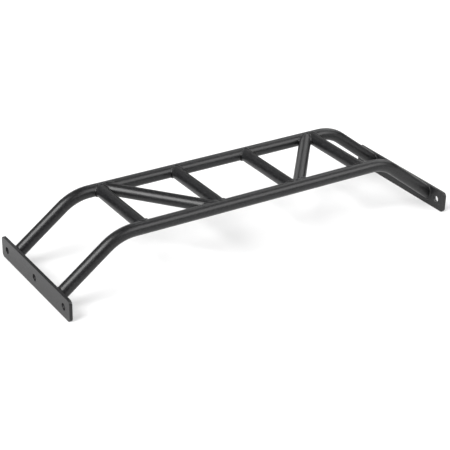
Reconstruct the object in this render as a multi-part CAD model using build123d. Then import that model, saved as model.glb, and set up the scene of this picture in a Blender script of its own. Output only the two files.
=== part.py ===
from build123d import *
import math
import os

# A multi-grip pull-up bar that bolts between the two sides of a rack.
# Two bent tubes, the rails, run from plate to plate. Six shorter tubes, the grips, are coped to
# fit between the rails, and every tube end is welded all round.
# +X runs along the rails to the user's right, +Y to the rear and +Z up. The origin is the middle of
# the footprint, level with the lower edges of the end plates. Everything is in millimetres.

# Driving dimensions
SPAN = 1092.0                 # between the outer faces of the end plates
PLATE_LENGTH = 366.0          # front to back
PLATE_HEIGHT = 55.0
PLATE_THICKNESS = 8.0
PLATE_CORNER_RADIUS = 10.0
PLATE_EDGE_RADIUS = 0.8       # the sheared edges are broken and rounded by the coating
HOLE_DIAMETER = 17.5          # clearance for a 16 mm bolt
HOLE_SPACING = 152.4          # three steps of a rack's 50.8 mm hole grid
HOLE_EDGE_BREAK = 0.4
RAIL_DIAMETER = 32.0
GRIP_DIAMETER = 31.5
TUBE_WALL = 3.0
RAIL_SPACING = 229.0          # front rail to rear rail, centre to centre
RAIL_HEIGHT = 152.0           # centre of a rail's level run
FOOT_HEIGHT = 33.9            # centre of a rail's leg where it meets its plate
BEND_X = 382.4                # where the centre lines of the level run and the leg cross
BEND_RADIUS = 120.0
INNER_GRIP_X = 103.0
OUTER_GRIP_X = 314.7
ANGLED_FRONT_X = 117.0        # an angled grip's centre line where it crosses the front rail's
ANGLED_REAR_X = 301.0         # and the rear rail's
BEAD_RADIUS = 5.0             # hollow of a weld bead between a tube and what it lands on
SEAM_RADIUS = 3.0             # the same where two grips meet side by side

# Worked-out places
RAIL_RADIUS = RAIL_DIAMETER / 2
GRIP_RADIUS = GRIP_DIAMETER / 2
PLATE_INNER_X = SPAN / 2 - PLATE_THICKNESS
RAIL_Y = {"front": -RAIL_SPACING / 2, "rear": RAIL_SPACING / 2}
LEG_DROP = (RAIL_HEIGHT - FOOT_HEIGHT) / (PLATE_INNER_X - BEND_X)   # fall per millimetre outwards

# Working lengths of the rods that the shapes are cut with
STUB = 60.0                   # how far a short stretch of tube runs from its joint
OVERRUN = 6.0                 # how far a rod is carried on past a rail's centre line


def rod(start, end, radius):
    """A solid round rod from one point to another."""
    axis = Vector(end) - Vector(start)
    along = Plane(origin=Vector(start), z_dir=axis)
    return along * Cylinder(radius, axis.length, align=(Align.CENTER, Align.CENTER, Align.MIN))


def leg_height(x):
    """Height of a leg's straight centre line at a distance x from the middle."""
    return RAIL_HEIGHT - LEG_DROP * (x - BEND_X)


def rail_rod(y):
    """A rail's level run, carried on from plate to plate as a solid rod for coping the grips."""
    return rod((-PLATE_INNER_X, y, RAIL_HEIGHT), (PLATE_INNER_X, y, RAIL_HEIGHT), RAIL_RADIUS)


def bent_rod(y, radius):
    """A rod along a rail's whole path: leg, bend, level run, bend, leg."""
    end_x = PLATE_INNER_X + STUB
    path = FilletPolyline(
        (-end_x, y, leg_height(end_x)),
        (-BEND_X, y, RAIL_HEIGHT),
        (BEND_X, y, RAIL_HEIGHT),
        (end_x, y, leg_height(end_x)),
        radius=BEND_RADIUS,
    )
    section = Plane(origin=path @ 0, z_dir=path % 0) * Circle(radius)
    return sweep(section, path=path)


def rail(y):
    """A bent tube with both legs cut to lie flat against the plates' inner faces."""
    between_plates = Box(2 * PLATE_INNER_X, 4 * RAIL_SPACING, 4 * RAIL_HEIGHT)
    return (bent_rod(y, RAIL_RADIUS) - bent_rod(y, RAIL_RADIUS - TUBE_WALL)) & between_plates


def end_plate():
    """A flat bar with rounded corners and three bolt holes in line at mid height."""
    middle = ((SPAN - PLATE_THICKNESS) / 2, 0, PLATE_HEIGHT / 2)
    facing = Plane(origin=middle, x_dir=(0, 1, 0), z_dir=(1, 0, 0))
    outline = RectangleRounded(PLATE_LENGTH, PLATE_HEIGHT, PLATE_CORNER_RADIUS)
    holes = GridLocations(HOLE_SPACING, 0, 3, 1) * Circle(HOLE_DIAMETER / 2)
    blank = extrude(outline, PLATE_THICKNESS / 2, both=True)
    faces = blank.faces().sort_by(Axis.Z)
    blank = fillet(faces[0].edges() + faces[-1].edges(), PLATE_EDGE_RADIUS)
    plate = blank - extrude(Sketch() + list(holes), PLATE_THICKNESS, both=True)
    rims = [edge for edge in plate.edges().filter_by(GeomType.CIRCLE)
            if abs(edge.radius - HOLE_DIAMETER / 2) < HOLE_EDGE_BREAK]
    return facing * chamfer(rims, HOLE_EDGE_BREAK)


def grip_rod(front_x, rear_x, radius=GRIP_RADIUS, overrun=0.0):
    """A rod along a grip's centre line, from one rail's centre line to the other's."""
    front = Vector(front_x, RAIL_Y["front"], RAIL_HEIGHT)
    rear = Vector(rear_x, RAIL_Y["rear"], RAIL_HEIGHT)
    past = (rear - front).normalized() * overrun
    return rod(front - past, rear + past, radius)


def grip(front_x, rear_x, coped_to):
    """A tube between the rails, coped to them and to the rods in coped_to."""
    shape = grip_rod(front_x, rear_x) - grip_rod(front_x, rear_x, GRIP_RADIUS - TUBE_WALL)
    for other in [rail_rod(y) for y in RAIL_Y.values()] + coped_to:
        shape = shape - other
    return shape


def bead_between(first, second, radius):
    """The hollow-faced bead that fills the corner where two solids cross."""
    joined = first + second
    seam = new_edges(first, second, combined=joined)
    return fillet(seam, radius) - joined


def rail_stub(x, y):
    """A short stretch of a rail's level run about x."""
    reach = STUB + 2 * RAIL_RADIUS
    return rod((x - reach, y, RAIL_HEIGHT), (x + reach, y, RAIL_HEIGHT), RAIL_RADIUS)


def seam_plane(neighbour_x, end):
    """The upright plane in which the right angled grip meets its neighbour at this end.

    It holds the bisector of the two centre lines, and its y_dir points to the neighbour's side.
    """
    front = Vector(ANGLED_FRONT_X, RAIL_Y["front"], RAIL_HEIGHT)
    rear = Vector(ANGLED_REAR_X, RAIL_Y["rear"], RAIL_HEIGHT)
    share = (neighbour_x - ANGLED_FRONT_X) / (ANGLED_REAR_X - ANGLED_FRONT_X)
    bisector = (rear - front).normalized() + Vector(0, 1, 0)
    if end == "rear":
        bisector = -bisector
    return Plane(origin=front + (rear - front) * share, x_dir=bisector, z_dir=(0, 0, 1))


def beside_seam(neighbour_x, end, towards):
    """A block on the neighbour's side of the seam plane (towards 1) or the angled grip's (-1)."""
    reach = 2 * STUB
    return seam_plane(neighbour_x, end) * Pos(0, towards * reach / 2, 0) * Box(
        2 * reach, reach, reach)


def seam_bead(neighbour, angled, end):
    """The bead where an angled grip lies against its neighbour, up to the rail's own bead."""
    reach = RAIL_SPACING / 2 - RAIL_RADIUS - BEAD_RADIUS
    towards = math.copysign(1, RAIL_Y[end])
    half = Pos(0, towards * reach / 2, RAIL_HEIGHT) * Box(SPAN, reach, 4 * RAIL_RADIUS)
    return bead_between(neighbour & half, angled & half, SEAM_RADIUS)


def leg_bead():
    """The bead round a rail's foot at y = 0, no taller than the flat of the plate below it."""
    buried_x = PLATE_INNER_X + STUB / 2
    knee_x = PLATE_INNER_X - STUB
    leg = rod((buried_x, 0, leg_height(buried_x)), (knee_x, 0, leg_height(knee_x)), RAIL_RADIUS)
    wall = Pos(buried_x, 0, PLATE_HEIGHT / 2) * Box(STUB, 2 * STUB, 2 * STUB)
    flat_height = PLATE_HEIGHT - 2 * PLATE_EDGE_RADIUS
    flat = Pos(PLATE_INNER_X, 0, PLATE_HEIGHT / 2) * Box(STUB, 2 * STUB, flat_height)
    return bead_between(wall, leg, BEAD_RADIUS) & flat


def right_side():
    """The plate, grips and beads of the right side, each by its name without the side."""
    outer = grip_rod(OUTER_GRIP_X, OUTER_GRIP_X)
    inner = grip_rod(INNER_GRIP_X, INNER_GRIP_X)
    angled = grip_rod(ANGLED_FRONT_X, ANGLED_REAR_X)
    angled_carried_on = grip_rod(ANGLED_FRONT_X, ANGLED_REAR_X, overrun=OVERRUN)
    shapes = {
        "end_plate": end_plate(),
        "outer_grip": grip(OUTER_GRIP_X, OUTER_GRIP_X, []),
        "inner_grip": grip(INNER_GRIP_X, INNER_GRIP_X, []),
        "angled_grip": grip(ANGLED_FRONT_X, ANGLED_REAR_X, [outer, inner]),
    }
    foot_bead = leg_bead()
    for end, y in RAIL_Y.items():
        angled_x = {"front": ANGLED_FRONT_X, "rear": ANGLED_REAR_X}[end]
        beads = {
            "outer": bead_between(rail_stub(OUTER_GRIP_X, y), outer, BEAD_RADIUS),
            "inner": bead_between(rail_stub(INNER_GRIP_X, y), inner, BEAD_RADIUS),
            "angled": bead_between(rail_stub(angled_x, y), angled, BEAD_RADIUS),
        }
        beside, beside_x, beside_rod = {
            "front": ("inner", INNER_GRIP_X, inner),
            "rear": ("outer", OUTER_GRIP_X, outer),
        }[end]
        beads[beside] = beads[beside] & beside_seam(beside_x, end, 1)
        beads["angled"] = beads["angled"] & beside_seam(beside_x, end, -1)
        for which, bead in beads.items():
            shapes[f"{which}_grip_{end}_weld"] = bead
        shapes[f"{beside}_grip_seam_weld"] = seam_bead(beside_rod, angled_carried_on, end)
        shapes[f"{end}_leg_weld"] = Pos(0, y, 0) * foot_bead
    return shapes


def build():
    """Every node of the bar, by name. The left side is the right one mirrored."""
    shapes = {f"{end}_rail": rail(y) for end, y in RAIL_Y.items()}
    for name, shape in right_side().items():
        shapes[f"right_{name}"] = shape
        shapes[f"left_{name}"] = mirror(shape, about=Plane.YZ)
    return shapes


os.makedirs("parts", exist_ok=True)
for node, shape in build().items():
    export_step(shape, f"parts/{node}.step")
    print(node, "solids", len(shape.solids()), "volume", round(shape.volume))
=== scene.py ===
# %% [markdown]
# # A multi-grip pull-up bar in black powder coat
#
# The real bar is a welded steel frame. Two bent tubes, the rails, run from one end plate to the
# other, six shorter tubes, the grips, are coped to fit between them, and every tube end is welded
# before the whole frame is blasted and powder coated. The packed CAD model is the frame of this
# scene: it says where each tube and plate is. The scene adds what a drawing leaves out, which is
# the rippled weld beads, the texture of the coat, and the light that shows them.

# %% Load the frame
import math

import bpy
import numpy as np
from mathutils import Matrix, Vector


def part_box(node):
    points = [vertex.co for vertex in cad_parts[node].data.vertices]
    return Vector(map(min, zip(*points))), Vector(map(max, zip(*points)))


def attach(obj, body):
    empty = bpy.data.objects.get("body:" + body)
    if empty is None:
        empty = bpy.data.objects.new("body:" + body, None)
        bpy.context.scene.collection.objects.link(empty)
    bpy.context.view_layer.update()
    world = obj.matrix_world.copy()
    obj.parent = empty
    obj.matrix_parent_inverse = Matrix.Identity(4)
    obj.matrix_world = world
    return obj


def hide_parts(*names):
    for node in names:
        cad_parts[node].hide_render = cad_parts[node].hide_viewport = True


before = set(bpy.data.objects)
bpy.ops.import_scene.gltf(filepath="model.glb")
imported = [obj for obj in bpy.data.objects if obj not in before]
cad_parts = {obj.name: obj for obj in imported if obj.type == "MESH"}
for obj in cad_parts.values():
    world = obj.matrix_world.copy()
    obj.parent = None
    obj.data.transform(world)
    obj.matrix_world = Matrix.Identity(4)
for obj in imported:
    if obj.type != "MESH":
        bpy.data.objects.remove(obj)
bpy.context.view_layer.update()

print("CAD nodes:", len(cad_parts))

# %% [markdown]
# ## Sizes
#
# A round bar is known by its centre line and its radius. The places could all be typed in again,
# but the box of a CAD node already gives them where a bar lies along an axis: half the box's width
# is the radius, and the middle of the box is the centre line. Only the slanting lines, which a box
# can't give, are stated here as numbers.

# %% Sizes from the frame
MM = 0.001


def middle_and_half(node, axis):
    """Middle and half width of a node's box along one axis (0, 1 or 2)."""
    low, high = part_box(node)
    return (low[axis] + high[axis]) / 2, (high[axis] - low[axis]) / 2


FRONT_Y, RAIL_RADIUS = middle_and_half("front_rail", 1)
REAR_Y = middle_and_half("rear_rail", 1)[0]
RAIL_Y = {"front": FRONT_Y, "rear": REAR_Y}
RAIL_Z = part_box("front_rail")[1][2] - RAIL_RADIUS
INNER_X, GRIP_RADIUS = middle_and_half("right_inner_grip", 0)
OUTER_X = middle_and_half("right_outer_grip", 0)[0]
PLATE_FACE_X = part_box("right_end_plate")[0][0]
PLATE_TOP_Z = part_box("right_end_plate")[1][2]
ANGLED_FRONT_X = 117 * MM     # where an angled grip's centre line crosses the front rail's
ANGLED_REAR_X = 301 * MM      # and the rear rail's
KNEE_X = 382.4 * MM           # where the centre lines of a rail's level run and leg cross
FOOT_Z = 33.9 * MM            # height of a leg's centre line at the plate
print(f"rails at y {FRONT_Y:.4f} and {REAR_Y:.4f}, radius {RAIL_RADIUS:.4f}, height {RAIL_Z:.4f}")
print(f"grips at x {INNER_X:.4f} and {OUTER_X:.4f}, radius {GRIP_RADIUS:.5f}")

# %% Which grip is where
SIGN = {"left": -1, "right": 1}
GRIP_X = {                    # a right grip's x at the front rail and at the rear rail
    "outer": {"front": OUTER_X, "rear": OUTER_X},
    "inner": {"front": INNER_X, "rear": INNER_X},
    "angled": {"front": ANGLED_FRONT_X, "rear": ANGLED_REAR_X},
}
NEIGHBOUR = {"front": "inner", "rear": "outer"}      # the grip that the angled one lies against
print("grips on each side:", ", ".join(GRIP_X))

# %% [markdown]
# ## From a grid of points to a mesh
#
# Every new piece here is a surface of two parameters, worked out as one array of points. It could
# be built face by face, but a weld bead is the same section carried along a line, so a grid says
# it all. A bead closes on itself both ways, like a ring, or narrows at each end. One helper turns
# any such array into faces, so the shape stays in the formula and not in a list of vertices.


# %% Grid helper
def grid_faces(rows, columns, closed_rows):
    """Quads between neighbouring points of a rows x columns grid whose columns wrap round."""
    i = np.arange(rows if closed_rows else rows - 1)[:, None]
    j = np.arange(columns)[None, :]
    next_i = (i + 1) % rows
    next_j = (j + 1) % columns
    corners = [
        i * columns + j,
        i * columns + next_j,
        next_i * columns + next_j,
        next_i * columns + j,
    ]
    return np.stack([np.broadcast_to(c, (len(i), columns)) for c in corners], -1).reshape(-1, 4)


def signed_volume(mesh):
    """Volume inside a closed mesh, negative if its faces point inwards.

    Each triangle (a, b, c) adds a sixth of (a x b) . c.
    """
    mesh.calc_loop_triangles()
    corners = np.zeros(len(mesh.loop_triangles) * 3, np.int32)
    mesh.loop_triangles.foreach_get("vertices", corners)
    places = np.zeros(len(mesh.vertices) * 3, np.float32)
    mesh.vertices.foreach_get("co", places)
    a, b, c = places.reshape(-1, 3)[corners.reshape(-1, 3)].transpose(1, 0, 2).astype(float)
    return float((np.cross(a, b) * c).sum() / 6)


def make_piece(name, points, closed_rows, material, node, sharp_angle):
    """A smooth closed piece from points[row, column, xyz], which stands for a CAD node.

    Columns always wrap. Rows wrap if closed_rows, and otherwise the first and last row are each
    drawn together in one point, so that the ends are shut.
    """
    rows, columns = points.shape[:2]
    faces = grid_faces(rows, columns, closed_rows).tolist()
    vertices = points.reshape(-1, 3)
    if not closed_rows:
        vertices = np.vstack([vertices, points[[0, -1]].mean(1)])
        first_tip = len(vertices) - 2
        last_tip = len(vertices) - 1
        start = (rows - 1) * columns
        faces += [[first_tip, (j + 1) % columns, j] for j in range(columns)]
        faces += [[last_tip, start + j, start + (j + 1) % columns] for j in range(columns)]
    mesh = bpy.data.meshes.new(name)
    mesh.from_pydata(vertices.tolist(), [], faces)
    mesh.update()
    if signed_volume(mesh) < 0:
        mesh.flip_normals()
    mesh.shade_smooth()
    mesh.set_sharp_from_angle(angle=math.radians(sharp_angle))
    mesh.materials.append(material)
    piece = bpy.data.objects.new(name, mesh)
    bpy.context.scene.collection.objects.link(piece)
    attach(piece, "root")
    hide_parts(node)
    return piece


print("a ring of 4 rows and 3 columns has", len(grid_faces(4, 3, True)), "quads")

# %% [markdown]
# ## Shader sums
#
# A finish is mostly arithmetic on noise: so much grain, plus so much swell, plus a few specks.
# Added as nodes one by one that is hard to read. Here a small class wraps a socket, so that
# `grain * 0.3 + peel` adds the Math nodes itself, and one method, `add`, makes any other node.


# %% Shader helpers
class Nodes:
    """The node tree of a material or a world, and the one way in which nodes are added to it."""

    def __init__(self, tree):
        self.tree = tree

    def add(self, kind, settings, inputs):
        """A node of this kind: settings are set first, then the values or links of its sockets."""
        node = self.tree.nodes.new(kind)
        for name, value in settings.items():
            setattr(node, name, value)
        for name, value in inputs.items():
            if isinstance(value, Wire):
                self.tree.links.new(value.socket, node.inputs[name])
            else:
                node.inputs[name].default_value = value
        return node

    def wire(self, kind, settings, inputs, output=0):
        """One output of a new node, ready to take part in sums."""
        return Wire(self, self.add(kind, settings, inputs).outputs[output])


class Wire:
    """An output socket that takes part in sums. Each sum adds a Math node to its tree."""

    def __init__(self, nodes, socket):
        self.nodes = nodes
        self.socket = socket

    def math(self, operation, *values):
        """The result of a Math node on these values or wires."""
        return self.nodes.wire("ShaderNodeMath", {"operation": operation}, dict(enumerate(values)))

    def __add__(self, other):
        return self.math("ADD", self, other)

    def __radd__(self, other):
        return self.math("ADD", other, self)

    def __sub__(self, other):
        return self.math("SUBTRACT", self, other)

    def __rsub__(self, other):
        return self.math("SUBTRACT", other, self)

    def __mul__(self, other):
        return self.math("MULTIPLY", self, other)

    def __rmul__(self, other):
        return self.math("MULTIPLY", other, self)

    def ramp(self, low, high):
        """0 at low, 1 at high, straight between and held outside."""
        return self.nodes.wire("ShaderNodeMapRange", {"clamp": True},
                               {"Value": self, "From Min": low, "From Max": high})


print("sums on sockets:", ", ".join(name for name in vars(Wire) if name.startswith("__r")))

# %% [markdown]
# ## The coat
#
# Powder coat is sprayed on dry and baked until it flows. It never flows quite flat: a fine-textured
# black keeps a grain of about half a millimetre and a pebbling of about a millimetre, and a slower
# swell of a few millimetres, the orange peel, lies under both. All three could be moved vertices,
# but they are far too small for the mesh, so they are a bump. The gloss drifts a little from place
# to place, and some powder lands dry and stays as a slightly paler, duller speck. Nearly all that
# the eye sees of such a black is gloss: its own colour sends back less than a hundredth of the
# light.

# %% The coat's numbers
# How many features of each kind there are to the metre, and how much finer detail they carry
GRAIN = {"scale": 2300, "detail": 1}
PEBBLE = {"scale": 950, "detail": 2}
SPECK = {"scale": 380, "detail": 3}
PEEL = {"scale": 220, "detail": 1}
DRIFT = {"scale": 12, "detail": 3}
SPECK_FROM, SPECK_TO = 0.50, 0.72      # the noise levels between which a speck grows from nothing
# Shares of each in the colour, the roughness and the relief
SHADE = {"even": 0.50, "drift": 0.30, "pebble": 0.20, "speck": 2.2}
DULLNESS = {"even": -0.12, "drift": 0.08, "pebble": 0.10, "speck": 0.10}
GRAIN_RELIEF = 0.35
BLUE_CAST = 1.06                       # the black leans this much to blue
GLOSS = 0.35                           # the specular level; 0.5 is bare plastic
print("grain every", round(1000 / GRAIN["scale"], 2), "mm, peel every",
      round(1000 / PEEL["scale"], 1), "mm")


# %% Powder coat
def noise(nodes, where, kind):
    """Smooth noise from 0 to 1, of one of the kinds above."""
    return nodes.wire("ShaderNodeTexNoise", {},
                      {"Vector": where, "Scale": kind["scale"], "Detail": kind["detail"]})


def add_painted_pore_shade(nodes, shader):
    """Where the bead's attribute for its craters is 1, mix in a black that sends no light back: painted
    shade.
    """
    # Flat black with no gloss: painted shade for the deep corner in each weld crater
    pore_shade = nodes.wire("ShaderNodeBsdfPrincipled", {},
                      {"Base Color": (0, 0, 0, 1), "Roughness": 1.0, "Specular IOR Level": 0.0})
    shade_mark = nodes.wire("ShaderNodeAttribute", {"attribute_name": "crater_and_shade"}, {}, "Fac")
    both = nodes.wire("ShaderNodeMixShader", {},
                      {"Fac": shade_mark, 1: Wire(nodes, shader.outputs[0]), 2: pore_shade})
    nodes.tree.links.new(both.socket, nodes.tree.nodes["Material Output"].inputs["Surface"])


def powder_coat(name, base, roughness, relief_height, painted_pores):
    """Fine-textured black powder coat.

    base is its grey level in linear light, and relief_height the height in metres that a noise
    of 1 stands for in the bump. pores is True for weld beads, whose craters are painted black as shade.
    """
    material = bpy.data.materials.new(name)
    material.use_nodes = True
    nodes = Nodes(material.node_tree)
    shader = nodes.tree.nodes["Principled BSDF"]
    where = nodes.wire("ShaderNodeTexCoord", {}, {}, "Object")
    grain = noise(nodes, where, GRAIN)
    pebble = noise(nodes, where, PEBBLE)
    peel = noise(nodes, where, PEEL)
    drift = noise(nodes, where, DRIFT)
    speck = noise(nodes, where, SPECK).ramp(SPECK_FROM, SPECK_TO)
    shade = SHADE["even"] + drift * SHADE["drift"] + pebble * SHADE["pebble"] + speck * SHADE["speck"]
    dullness = (roughness + DULLNESS["even"] + drift * DULLNESS["drift"]
                + pebble * DULLNESS["pebble"] + speck * DULLNESS["speck"])
    tint = nodes.wire("ShaderNodeMix", {"data_type": "RGBA", "blend_type": "MULTIPLY"},
                      {"Factor": 1.0, "A": (base, base, base * BLUE_CAST, 1), "B": shade}, "Result")
    bump = nodes.wire("ShaderNodeBump", {},
                      {"Strength": 1.0, "Distance": relief_height,
                       "Height": grain * GRAIN_RELIEF + pebble + peel}, "Normal")
    nodes.tree.links.new(tint.socket, shader.inputs["Base Color"])
    nodes.tree.links.new(dullness.socket, shader.inputs["Roughness"])
    nodes.tree.links.new(bump.socket, shader.inputs["Normal"])
    shader.inputs["Specular IOR Level"].default_value = GLOSS
    # Weld beads get the painted black shade in their craters
    if painted_pores:
        add_painted_pore_shade(nodes, shader)
    return material


coat = powder_coat("powder_coat_black", base=0.008, roughness=0.37,
                   relief_height=0.12 * MM, painted_pores=False)
weld_coat_and_pore_shade = powder_coat("powder_coat_over_weld_with_pore_shade", base=0.008, roughness=0.36,
                        relief_height=0.06 * MM, painted_pores=True)
for node_name, node_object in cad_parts.items():
    for material_slot in node_object.material_slots:
        material_slot.material = weld_coat_and_pore_shade if "weld" in node_name else coat
print("materials:", coat.name, weld_coat_and_pore_shade.name)

# %% [markdown]
# ## Surfaces that a weld is laid on
#
# A bead runs along the line where two surfaces meet, and its two edges, the toes, lie a few
# millimetres away from that line, one on each surface. The toes could be found by cutting the
# tubes with a larger tube, but it is simpler to walk there. On a flat plate that walk is a straight
# step. A round tube can be unrolled flat like paper, so the step is taken on the paper, where it is
# just as simple, and rolled up again. Both surfaces therefore offer the same methods.


# %% Round and flat surfaces
class Round:
    """A tube's outer surface. Flat coordinates are (along the axis, arc length round it)."""

    def __init__(self, origin, axis, radius):
        self.origin = np.array(origin, float)
        self.axis = np.array(axis, float) / np.linalg.norm(axis)
        side = np.cross(self.axis, (0, 0, 1))
        self.side = side / np.linalg.norm(side)
        self.up = np.cross(self.side, self.axis)
        self.radius = radius

    def point(self, along, angle):
        """The point at this distance along the axis, angle radians from the top of the tube."""
        across = np.multiply.outer(np.sin(angle), self.side) + np.multiply.outer(np.cos(angle), self.up)
        return self.origin + np.multiply.outer(along, self.axis) + self.radius * across

    def from_axis(self, points):
        """The arrows that run from the axis, square to it, to these points."""
        offset = points - self.origin
        return offset - np.multiply.outer(offset @ self.axis, self.axis)

    def flatten(self, points):
        """Points on the tube as points on the unrolled sheet."""
        offset = points - self.origin
        angle = np.unwrap(np.arctan2(offset @ self.side, offset @ self.up))
        return np.stack([offset @ self.axis, self.radius * angle], -1)

    def roll_up(self, flat):
        """Points on the unrolled sheet as points on the tube."""
        return self.point(flat[:, 0], flat[:, 1] / self.radius)

    def normal(self, points):
        """Outward directions, which point straight away from the axis."""
        across = self.from_axis(points)
        return across / np.linalg.norm(across, axis=1, keepdims=True)

    def lap(self, flat):
        """What one trip round a closed line adds to its place on the sheet."""
        circumference = 2 * math.pi * self.radius
        return np.array([0.0, round((flat[-1, 1] - flat[0, 1]) / circumference) * circumference])


class Flat:
    """An end plate's inner face, up to the height where its edge starts to round off.

    Flat coordinates are (y, z).
    """

    def __init__(self, x, facing, top):
        self.x = x
        self.facing = facing
        self.top = top

    def flatten(self, points):
        """Points on the face, less their x."""
        return points[:, 1:].copy()

    def roll_up(self, flat):
        """The points again, none of them above the top."""
        height = np.minimum(flat[:, 1], self.top)
        return np.column_stack([np.full(len(flat), self.x), flat[:, 0], height])

    def normal(self, points):
        """The same direction everywhere, along x."""
        return np.tile((self.facing, 0.0, 0.0), (len(points), 1))

    def lap(self, flat):
        """A closed line on a flat face comes back to where it began."""
        return 0.0


# %% Where the surfaces are
def grip_surface(side, which):
    """A grip's round surface, its axis running from the front rail's centre line to the rear's."""
    front, rear = (np.array((SIGN[side] * GRIP_X[which][end], RAIL_Y[end], RAIL_Z)) for end in RAIL_Y)
    return Round(front, rear - front, GRIP_RADIUS)


def rail_surface(end):
    """A rail's level run as a round surface."""
    return Round((0, RAIL_Y[end], RAIL_Z), (1, 0, 0), RAIL_RADIUS)


print("angled grip points along", grip_surface("right", "angled").axis.round(3))

# %% [markdown]
# ## The bead
#
# A welder lays a bead as a row of overlapping puddles. Each sets as a low crescent that bows away
# from the way the torch travels, so the bead is a ribbed, slightly domed strip. A fillet would make
# it smooth, so the section is drawn instead: the two toes, the root down in the corner, and a domed
# line from toe to toe. Carried along the joint, that section is the bead. The ribs are a height
# that repeats every couple of millimetres and is shifted at the toes, which bends each rib to a
# crescent. Where two passes of the torch leave a gap between them, the bead sinks into a crater,
# and the middle of each crater is coloured flat black: painted shade for the deep corner there.

# %% Bead sizes
BEAD_WIDTH = 4.0 * MM         # from the corner to a toe, on each surface, at a grip
SEAM_WIDTH = 3.6 * MM         # the same between two grips
LEG_WIDTH = 3.4 * MM          # and at a leg's foot
WIDTH_WANDER = 0.22           # how unevenly wide a bead is, as a share of its width
BEAD_DOME = 0.16              # height of the dome, as a share of the distance from toe to toe
TOE_SINK = 0.12 * MM          # the toes lie just under the surfaces, so that no gap shows
ROOT_DEPTH = 1.2 * MM         # how far under the corner the section is shut
END_WIDTH = 0.12              # an open bead's width at its very end, as a share
END_RUN = 1.3                 # and the widths that it takes to reach its full width
SHARP = 60                    # creases are left smooth up to this many degrees
print("bead widths in mm:", [round(w / MM, 1) for w in (BEAD_WIDTH, SEAM_WIDTH, LEG_WIDTH)])

# %% Ripple and crater sizes
RIPPLE_PITCH = 2.6 * MM
RIPPLE_HEIGHT = 0.34 * MM
RIPPLE_BOW = 0.55             # how far a rib is shifted at the toes, in pitches
RIPPLE_WANDER = 0.5           # how far a rib strays from its even place, in pitches
RIB_LEAN = 0.7                # under 1, a rib is steeper on the side that set first
RIB_FULLNESS = 0.8            # under 1, ribs are fuller and the valleys between them narrower
RIB_LEVEL = 0.6               # the height in a rib that counts as the dome's own
SAMPLES_PER_RIPPLE = 10
ACROSS = 15                   # points from toe to toe
CRATER_DEPTH = 0.50           # below the line from toe to toe, as a share of the width
CRATER_HALF_LENGTH = 3.8 * MM
CRATER_STEEPNESS = 4          # the power in its outline along the bead
CRATER_FULLNESS = 0.5         # the power in its outline across the bead
print("one ripple every", RIPPLE_PITCH / MM, "mm")


# %% Bead helpers
def wander(turns, seed, strength):
    """Slow unevenness of a hand-laid bead: six waves round the joint with random phases."""
    rng = np.random.default_rng(seed)
    waves = np.arange(2, 8)
    phases = rng.uniform(0, 2 * math.pi, len(waves))
    sizes = rng.uniform(0.4, 1.0, len(waves)) / len(waves)
    return strength * (sizes * np.sin(2 * math.pi * np.multiply.outer(turns, waves) + phases)).sum(-1)


def step_off(surface, curve, width, closed, away_from):
    """The curve moved sideways on a surface by width, to the side away from a given point.

    On the unrolled surface the sideways direction is the curve's own direction turned by 90
    degrees. A short trial step says which of the two sides is meant.
    """
    flat = surface.flatten(curve)
    if closed:
        ahead = np.roll(flat, -1, 0)
        behind = np.roll(flat, 1, 0)
        ahead[-1] += surface.lap(flat)
        behind[0] -= surface.lap(flat)
        heading = ahead - behind
    else:
        heading = np.gradient(flat, axis=0)
    heading /= np.linalg.norm(heading, axis=1, keepdims=True)
    sideways = np.column_stack([-heading[:, 1], heading[:, 0]])
    trial = surface.roll_up(flat + sideways * 0.5 * MM)
    nearer = np.linalg.norm(trial - away_from, axis=1) < np.linalg.norm(curve - away_from, axis=1)
    if nearer.mean() > 0.5:
        sideways = -sideways
    return surface.roll_up(flat + sideways * width[:, None])


def even_steps(curve, closed, step):
    """The same curve with its points about one step apart, how far along each is, and its length."""
    loop = np.vstack([curve, curve[:1]]) if closed else curve
    run = np.r_[0, np.cumsum(np.linalg.norm(np.diff(loop, axis=0), axis=1))]
    count = max(8, int(round(run[-1] / step)))
    places = np.linspace(0, run[-1], count + 1)
    if closed:
        places = places[:-1]
    return np.stack([np.interp(places, run, loop[:, k]) for k in range(3)], -1), places, run[-1]


def craters(line, gaps):
    """1 at a gap and 0 away from it: e to the power of minus (distance / half length) ^ 4."""
    depth_and_shade = np.zeros(len(line))
    for gap in gaps:
        from_gap = np.linalg.norm(line - gap, axis=1) / CRATER_HALF_LENGTH
        depth_and_shade = np.maximum(depth_and_shade, np.exp(-from_gap ** CRATER_STEEPNESS))
    return depth_and_shade


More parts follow.
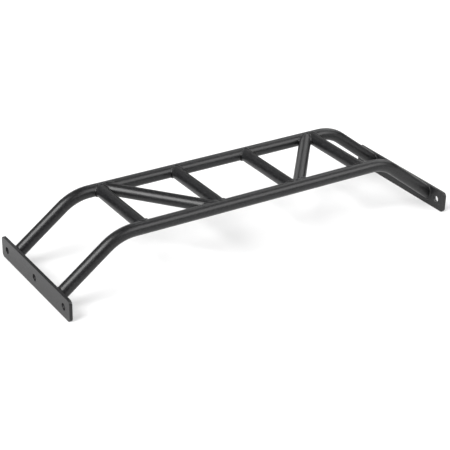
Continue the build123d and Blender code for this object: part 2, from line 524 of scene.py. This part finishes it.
# %% Bead surface
def bead_points(curve, closed, base, tube, base_from, tube_from, width, seed, gaps):
    """The bead's grid of points: rows follow the joint, columns go round the section.

    For each point of the joint: P(t) = (1 - t) A + t B + (dome + ripple) sin(pi t) out, where A
    and B are the toes on the base and on the tube, and out is the mean of the two normals. The
    section is shut through the root, which lies under both surfaces. Round each point in gaps the
    dome sinks to a crater. The second array is 1 in the middle of a crater and 0 outside: it is the
    mask of the flat black painted there as the shade of the deep corner.
    """
    line, places, length = even_steps(curve, closed, RIPPLE_PITCH / SAMPLES_PER_RIPPLE)
    turns = places / length
    reach = width * (1 + wander(turns, seed, WIDTH_WANDER))
    if not closed:
        from_end = np.minimum(places, length - places) / (END_RUN * width)
        reach = reach * (END_WIDTH + (1 - END_WIDTH) * np.sin(np.clip(from_end, 0, 1) * math.pi / 2))
    toe_a = step_off(base, line, reach, closed, base_from)
    toe_b = step_off(tube, line, reach, closed, tube_from)
    out = base.normal(line) + tube.normal(line)
    out /= np.linalg.norm(out, axis=1, keepdims=True)
    t = np.linspace(0, 1, ACROSS)
    arch = np.sin(math.pi * t)
    ripples = round(length / RIPPLE_PITCH) if closed else length / RIPPLE_PITCH
    phase = (turns * ripples + wander(turns, seed + 1, RIPPLE_WANDER))[:, None]
    phase = phase + RIPPLE_BOW * (2 * t - 1) ** 2
    rib = np.sin(math.pi * (phase % 1) ** RIB_LEAN) ** RIB_FULLNESS - RIB_LEVEL
    chord = np.linalg.norm(toe_b - toe_a, axis=1)[:, None]
    share = (reach / width)[:, None]
    dome = (BEAD_DOME * chord + RIPPLE_HEIGHT * rib * share) * arch
    crater_and_shade = craters(line, gaps)[:, None]
    # The pit also masks the flat black painted in the crater as shade
    pit_and_shade = crater_and_shade * arch ** CRATER_FULLNESS
    height = dome * (1 - crater_and_shade) - CRATER_DEPTH * reach[:, None] * pit_and_shade
    sunk_a = toe_a - base.normal(toe_a) * TOE_SINK
    sunk_b = toe_b - tube.normal(toe_b) * TOE_SINK
    face = (sunk_a[:, None] * (1 - t)[:, None] + sunk_b[:, None] * t[:, None]
            + out[:, None] * height[..., None])
    root = line - out * ROOT_DEPTH
    return np.concatenate([face, root[:, None]], 1), np.column_stack([pit_and_shade, crater_and_shade])


def add_bead(node, curve, closed, base, tube, base_from, tube_from, width, seed, gaps):
    """The bead for one weld node, its craters written to an attribute the coat paints black as shade.
    """
    points, pit_and_shade = bead_points(curve, closed, base, tube, base_from, tube_from, width, seed, gaps)
    bead = make_piece(f"{node}_bead", points, closed, weld_coat_and_pore_shade, node, SHARP)
    # This attribute is the mask of the flat black painted in each crater as shade
    depth_and_shade = np.zeros(len(bead.data.vertices))
    depth_and_shade[:pit_and_shade.size] = pit_and_shade.ravel()
    bead.data.attributes.new("crater_and_shade", "FLOAT", "POINT").data.foreach_set("value", depth_and_shade)
    print(bead.name, len(bead.data.polygons), "faces")


# %% [markdown]
# ## Where the tubes meet
#
# A grip's surface is a bundle of straight lines parallel to its axis. The joints could be found by
# a mesh boolean, but its line would be rough. Each surface line of a grip meets a rail at a height
# that doesn't change along it, because the grips lie level, so the distance to the rail's surface
# at that height gives the meeting point at once. An angled grip meets its neighbour in the upright
# plane halfway between the two centre lines, since both tubes are the same size.

# %% Joint curves
ANGLES = np.linspace(-math.pi, math.pi, 1441)       # once round a tube, in quarter degrees


def along_to_rail(grip, angle, end):
    """How far along a grip its surface line at this angle meets the rail at one end.

    At height z a rail's surface stands off its middle by the square root of
    radius squared less (z - middle) squared.
    """
    start = grip.point(0 * angle, angle)
    stand_off = np.sqrt(RAIL_RADIUS ** 2 - (start[..., 2] - RAIL_Z) ** 2)
    target = RAIL_Y[end] + (stand_off if end == "front" else -stand_off)
    return (target - start[..., 1]) / grip.axis[1]


def along_to_neighbour(grip, angle, neighbour_x):
    """How far along an angled grip its surface line meets the plane it shares with a neighbour.

    The plane holds the sum of the two axes, so the arrow square to that sum measures the distance
    to it.
    """
    crossing = grip.origin + grip.axis * (neighbour_x - grip.origin[0]) / grip.axis[0]
    bisector = grip.axis + np.array((0.0, 1.0, 0.0))
    across = np.array((bisector[1], -bisector[0], 0.0))
    start = grip.point(0 * angle, angle)
    return (crossing - start) @ across / (grip.axis @ across)


def longest_run(mask):
    """First and last index of the longest unbroken stretch of True in a mask."""
    edges = np.flatnonzero(np.diff(np.r_[0, mask.astype(int), 0]))
    starts = edges[::2]
    stops = edges[1::2]
    longest = np.argmax(stops - starts)
    return starts[longest], stops[longest] - 1


print("joint lines have", len(ANGLES) - 1, "points")

# %% Beads at the grips
GAP_BELOW = 0.5 * MM          # the craters at a grip's sides lie this far below its middle


def clear_of_neighbour(side, which, end, grip, curve):
    """Where the line between a grip and a rail isn't inside the grip beside it."""
    if which == "angled":
        neighbour_x = SIGN[side] * GRIP_X[NEIGHBOUR[end]][end]
        to_rail = along_to_rail(grip, ANGLES, end)
        to_plane = along_to_neighbour(grip, ANGLES, neighbour_x)
        return to_rail >= to_plane if end == "front" else to_rail <= to_plane
    if which == NEIGHBOUR[end]:
        from_angled = grip_surface(side, "angled").from_axis(curve)
        return np.linalg.norm(from_angled, axis=1) >= GRIP_RADIUS
    return np.ones(len(ANGLES), bool)


def grip_joint(side, which, end, seed):
    """The bead between one grip and one rail, all round or as far as the neighbour lets it."""
    grip = grip_surface(side, which)
    rail = rail_surface(end)
    curve = grip.point(along_to_rail(grip, ANGLES, end), ANGLES)
    clear = clear_of_neighbour(side, which, end, grip, curve)
    closed = bool(clear.all())
    if closed:
        curve = curve[:-1]
    else:
        # Start the trip round inside the neighbour, so that what is left is in one stretch
        covered = np.flatnonzero(~clear)
        order = (np.arange(len(ANGLES) - 1) + covered[len(covered) // 2]) % (len(ANGLES) - 1)
        first, last = longest_run(clear[order])
        curve = curve[order][first:last + 1]
    inside = np.array((SIGN[side] * GRIP_X[which][end], RAIL_Y[end], RAIL_Z))
    quarter = math.pi / 2 + GAP_BELOW / GRIP_RADIUS
    sides = np.array((-quarter, quarter))
    gaps = grip.point(along_to_rail(grip, sides, end), sides)
    add_bead(f"{side}_{which}_grip_{end}_weld", curve, closed, rail, grip, inside, inside,
             BEAD_WIDTH, seed, gaps)


seed = 100
for side in SIGN:
    for which in GRIP_X:
        for end in RAIL_Y:
            seed += 10
            grip_joint(side, which, end, seed)

# %% [markdown]
# ## Seams and feet
#
# Where an angled grip leaves its neighbour, the two tubes part in a narrow crotch a few
# millimetres beyond the rail. A short bead closes it, from the rail's bead above to the rail's
# bead below. Each leg ends on a plate, cut on the slant, so its bead is an ellipse. At the top
# there is only a millimetre of plate left for the toe to lie on, and the bead stops there. Both
# could have their own shapes, but the same section carried along another line serves for them.

# %% Seam beads and leg beads
SEAM_START = 1.5 * MM         # a seam starts and ends this far inside the rail
GAP_AT_FOOT = math.radians(19.75)      # the crater at a foot, from the top of the leg rearwards
PLATE_EDGE = 1.0 * MM         # how far below a plate's top its edge starts to round off
FAR_BEHIND = 100 * MM         # a place well outside the plate, which a leg's bead leads away from


def seam_joint(side, end, seed):
    """The bead down the crotch between an angled grip and its neighbour at one rail."""
    neighbour = NEIGHBOUR[end]
    neighbour_x = SIGN[side] * GRIP_X[neighbour][end]
    angled = grip_surface(side, "angled")
    to_plane = along_to_neighbour(angled, ANGLES, neighbour_x)
    beyond = to_plane - along_to_rail(angled, ANGLES, end)
    if end == "rear":
        beyond = -beyond
    first, last = longest_run(beyond > -SEAM_START)
    curve = angled.point(to_plane, ANGLES)[first:last + 1]
    crossing = angled.origin + angled.axis * (neighbour_x - angled.origin[0]) / angled.axis[0]
    add_bead(f"{side}_{neighbour}_grip_seam_weld", curve, False, grip_surface(side, neighbour), angled,
             crossing, crossing, SEAM_WIDTH, seed, [])


def leg_joint(side, end, seed):
    """The bead round the slanting foot of one leg, on the inner face of an end plate."""
    foot = np.array((SIGN[side] * PLATE_FACE_X, RAIL_Y[end], FOOT_Z))
    knee = np.array((SIGN[side] * KNEE_X, RAIL_Y[end], RAIL_Z))
    leg = Round(foot, knee - foot, RAIL_RADIUS)
    plate = Flat(foot[0], -SIGN[side], PLATE_TOP_Z - PLATE_EDGE)
    rearwards = math.copysign(GAP_AT_FOOT, leg.side[1])
    angles = np.append(ANGLES[:-1], rearwards)
    curve = leg.point((foot[0] - leg.point(0 * angles, angles)[:, 0]) / leg.axis[0], angles)
    add_bead(f"{side}_{end}_leg_weld", curve[:-1], True, plate, leg, foot,
             foot - leg.axis * FAR_BEHIND, LEG_WIDTH, seed, curve[-1:])


for side in SIGN:
    for end in RAIL_Y:
        seed += 10
        seam_joint(side, end, seed)
        leg_joint(side, end, seed + 5)

# %% [markdown]
# ## The floor
#
# The bar lies on white paper that runs on far past the picture, so it has no edge and no
# horizon. A white that is only lit would need so much light that the black coat turned grey. So
# the paper is a middle grey that also glows a little: the two together come out just white, and
# the bar still leaves soft shadows on it.

# %% Floor
FLOOR_HALF = 9.0
PAPER_GREY = 0.47
PAPER_GLOW = 0.4

floor_mesh = bpy.data.meshes.new("studio_floor")
floor_corners = [(x * FLOOR_HALF, y * FLOOR_HALF, 0) for x, y in ((-1, -1), (1, -1), (1, 1), (-1, 1))]
floor_mesh.from_pydata(floor_corners, [], [(0, 1, 2, 3)])
floor = bpy.data.objects.new("studio_floor", floor_mesh)
bpy.context.scene.collection.objects.link(floor)
paper = bpy.data.materials.new("white_paper_floor")
paper.use_nodes = True
paper_shader = paper.node_tree.nodes["Principled BSDF"]
paper_shader.inputs["Base Color"].default_value = (PAPER_GREY, PAPER_GREY, PAPER_GREY, 1)
paper_shader.inputs["Emission Color"].default_value = (1, 1, 1, 1)
paper_shader.inputs["Emission Strength"].default_value = PAPER_GLOW
paper_shader.inputs["Roughness"].default_value = 0.9
paper_shader.inputs["Specular IOR Level"].default_value = 0.2
floor_mesh.materials.append(paper)
print("floor:", 2 * FLOOR_HALF, "m square")

# %% [markdown]
# ## The lights
#
# Large soft boxes stand round the bar. Area lamps could be those boxes, but their light falls off
# with distance and would grade the paper. A sun lights the floor evenly however far it reaches,
# and a very wide one has the soft edge of a box, so each box is a wide sun. The strongest comes
# from the left and draws the bright line along each tube. The weaker ones draw the second, dimmer
# lines. The world is white to the eye but lights nothing, so that the dark stays dark.


# %% Suns
def sun(name, azimuth, elevation, strength, width):
    """A soft light from this compass direction (0 is the front, 90 the right), in degrees."""
    lamp = bpy.data.lights.new(name, "SUN")
    lamp.energy = strength
    lamp.angle = math.radians(width)
    holder = bpy.data.objects.new(name, lamp)
    holder.rotation_euler = towards(azimuth, elevation).to_track_quat("Z", "Y").to_euler()
    bpy.context.scene.collection.objects.link(holder)
    print(f"{name}: strength {strength}, {width} degrees wide")


def towards(azimuth, elevation):
    """The direction (sin a cos e, -cos a cos e, sin e) of an azimuth and elevation in degrees."""
    a = math.radians(azimuth)
    e = math.radians(elevation)
    return Vector((math.sin(a) * math.cos(e), -math.cos(a) * math.cos(e), math.sin(e)))


sun("key_light", azimuth=-82, elevation=44, strength=5.5, width=44)
sun("fill_light", azimuth=39, elevation=36, strength=2.2, width=44)
sun("side_light", azimuth=117, elevation=38, strength=1.05, width=46)
sun("rear_light", azimuth=165, elevation=8, strength=0.34, width=34)
sun("back_light", azimuth=192, elevation=42, strength=0.15, width=40)

# %% World
world = bpy.data.worlds.new("studio")
bpy.context.scene.world = world
world.use_nodes = True
background = world.node_tree.nodes["Background"]
background.inputs["Color"].default_value = (1, 1, 1, 1)
seen = Nodes(world.node_tree).wire("ShaderNodeLightPath", {}, {}, "Is Camera Ray")
world.node_tree.links.new(seen.socket, background.inputs["Strength"])
print("world:", world.name)

# %% [markdown]
# ## The camera
#
# A long lens from over three metres away, looking down at the bar from the front left, as a
# catalogue picture does: the far end is then nearly as large as the near one. The camera could be
# aimed by hand, but an azimuth, an elevation and a small roll say the same in three numbers.

# %% Camera
AZIMUTH = -32.80
ELEVATION = 27.54
ROLL = 1.22
DISTANCE = 3.4068
LOOKED_AT = Vector((-0.02097, 0.0, 0.02821))
LENS = 108.38                 # in millimetres, as is the sensor
SENSOR = 36.0

camera_data = bpy.data.cameras.new("camera")
camera_data.lens = LENS
camera_data.sensor_width = SENSOR
camera = bpy.data.objects.new("camera", camera_data)
back = towards(AZIMUTH, ELEVATION)
camera.location = LOOKED_AT + back * DISTANCE
camera.rotation_euler = back.to_track_quat("Z", "Y").to_euler()
camera.rotation_euler.rotate_axis("Z", math.radians(ROLL))
bpy.context.scene.collection.objects.link(camera)
bpy.context.scene.camera = camera
bpy.context.scene.view_settings.view_transform = "Standard"
print("camera at", tuple(round(x, 3) for x in camera.location))

# %% [markdown]
# ## Sizes and finish
#
# The beads stand a little proud of the tubes.
